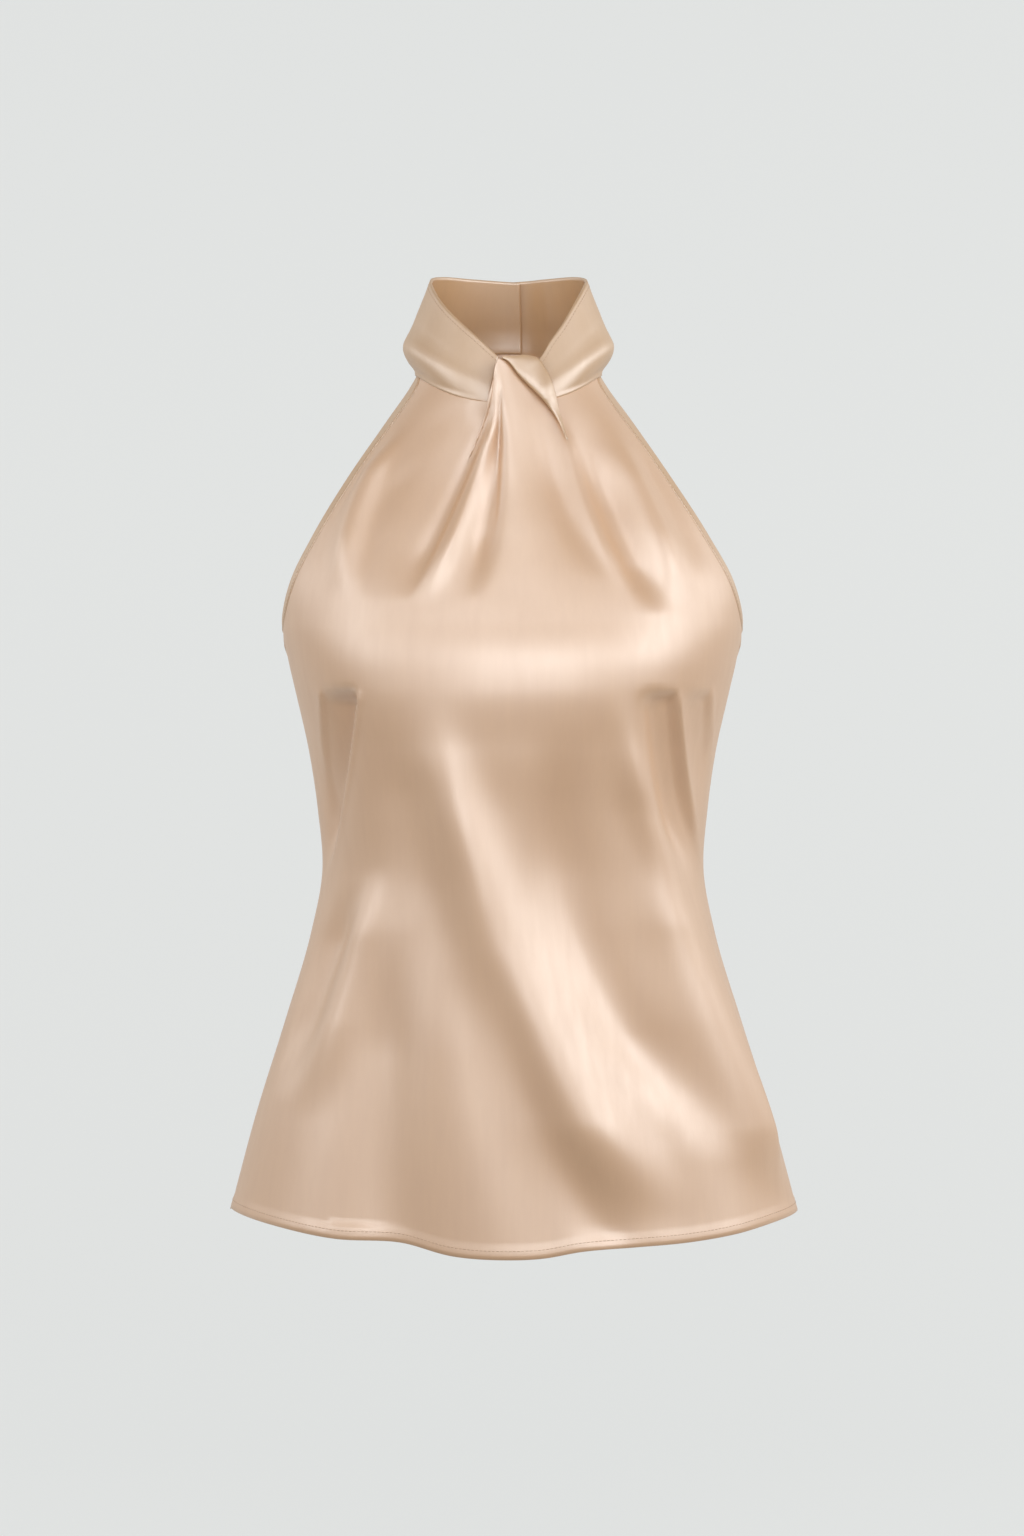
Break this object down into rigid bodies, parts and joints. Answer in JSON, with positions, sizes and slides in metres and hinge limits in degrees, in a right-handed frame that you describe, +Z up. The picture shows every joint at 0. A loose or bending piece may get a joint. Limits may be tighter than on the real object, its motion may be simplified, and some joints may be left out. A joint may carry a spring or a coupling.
{
  "type": "halter neck top",
  "caption": "Sleeveless satin halter neck top, worn form, with a high soft collar that meets in a front twist, a flared body, bound armholes and a narrow hem.",
  "frame": {"origin": "the centre of the neck, level with the collar seam at the sides of the neck, where the wearer holds the top up", "axes": "+Z up, -Y towards the front, +X towards the right of the front view (the wearer's left)"},
  "size_m": [0.4074, 0.2547, 0.6959],
  "materials": {
    "satin": "champagne satin, soft sheen",
    "satin_trim": "the same satin, folded and stitched",
    "button_satin": "satin stretched over a button"
  },
  "bodies": {
    "root": {"front_body": "satin", "back_left": "satin", "back_right": "satin", "collar_left": "satin", "collar_right": "satin", "twist_leaf": "satin", "armhole_binding_left": "satin_trim", "armhole_binding_right": "satin_trim", "neck_button_upper": "button_satin", "neck_button_lower": "button_satin"}
  },
  "joints": []
}
